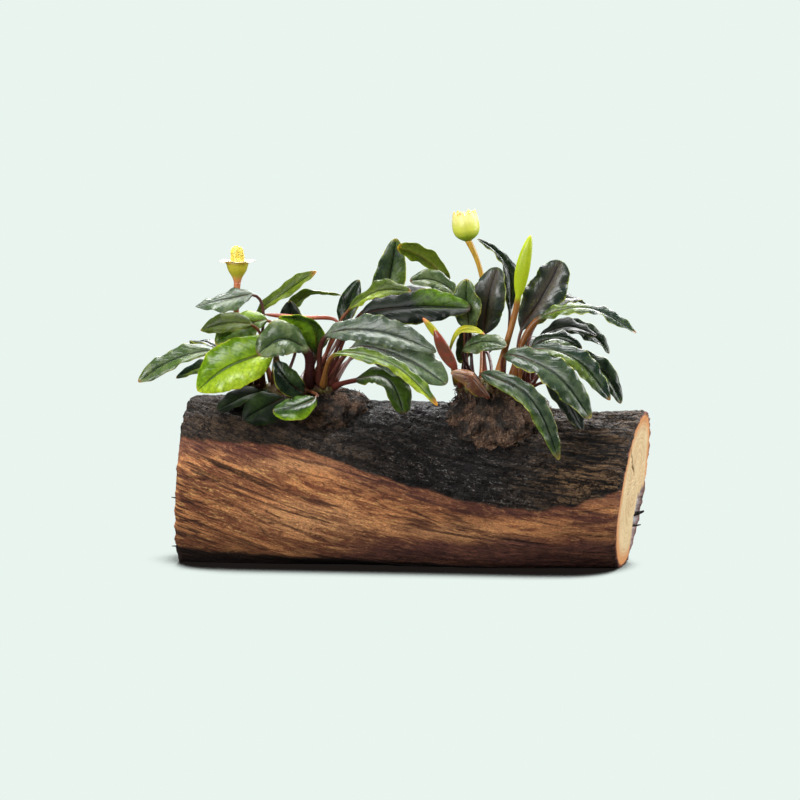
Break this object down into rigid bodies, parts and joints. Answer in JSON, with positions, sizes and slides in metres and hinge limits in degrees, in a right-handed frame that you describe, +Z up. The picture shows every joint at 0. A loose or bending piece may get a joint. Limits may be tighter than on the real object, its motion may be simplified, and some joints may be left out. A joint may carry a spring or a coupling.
{
  "type": "bucephalandra on driftwood",
  "caption": "Aquarium plants with dark wavy leaves and small pale flowers, rooted on top of a short sawn piece of driftwood log.",
  "frame": {"origin": "on the log's flat underside, under the middle of the log", "axes": "+X along the log towards its lower, right-hand sawn end as seen from the front, +Y to the back, +Z up"},
  "size_m": [0.1521, 0.0588, 0.1061],
  "materials": {
    "driftwood": "weathered dark bark above, bare orange-brown wood below",
    "root_mat": "matted brown root fibres",
    "leaf": "glossy dark green, pale green below",
    "bright_leaf": "glossy yellow-green",
    "red_young_leaf": "smooth red-brown",
    "green_young_leaf": "smooth yellow-green",
    "flower_stalk": "smooth pink to orange",
    "spathe": "waxy cream limb on a yellow-green cup",
    "spadix": "granular yellow",
    "flower_bud": "waxy pale lemon green"
  },
  "bodies": {
    "root": {"driftwood_log": "driftwood", "flower_bud": "flower_bud", "flower_spear": "green_young_leaf", "flower_stalk_left": "flower_stalk", "flower_stalk_right": "flower_stalk", "leaf_left_01": "leaf", "leaf_left_02": "leaf", "leaf_left_03": "leaf", "leaf_left_04": "bright_leaf", "leaf_left_05": "leaf", "leaf_left_06": "leaf", "leaf_left_07": "leaf", "leaf_left_08": "leaf", "leaf_left_09": "leaf", "leaf_left_10": "leaf", "leaf_left_11": "leaf", "leaf_left_12": "leaf", "leaf_left_13": "leaf", "leaf_left_14": "leaf", "leaf_left_15": "leaf", "leaf_left_16": "leaf", "leaf_left_17": "leaf", "leaf_left_18": "leaf", "leaf_left_19": "leaf", "leaf_left_20": "leaf", "leaf_left_21": "leaf", "leaf_left_22": "leaf", "leaf_left_23": "leaf", "leaf_left_24": "leaf", "leaf_left_25": "leaf", "leaf_left_26": "leaf", "leaf_left_27": "leaf", "leaf_right_01": "leaf", "leaf_right_02": "leaf", "leaf_right_03": "leaf", "leaf_right_04": "leaf", "leaf_right_05": "leaf", "leaf_right_06": "leaf", "leaf_right_07": "leaf", "leaf_right_08": "leaf", "leaf_right_09": "leaf", "leaf_right_10": "leaf", "leaf_right_11": "leaf", "leaf_right_12": "leaf", "leaf_right_13": "leaf", "leaf_right_14": "leaf", "leaf_right_15": "leaf", "leaf_right_16": "leaf", "leaf_right_17": "leaf", "leaf_right_18": "leaf", "leaf_right_19": "leaf", "leaf_right_20": "leaf", "leaf_right_21": "leaf", "rhizome_left": "root_mat", "rhizome_right": "root_mat", "sheath_right": "red_young_leaf", "spadix": "spadix", "spathe": "spathe", "young_leaf_left": "red_young_leaf", "young_leaf_right": "green_young_leaf"}
  },
  "joints": []
}
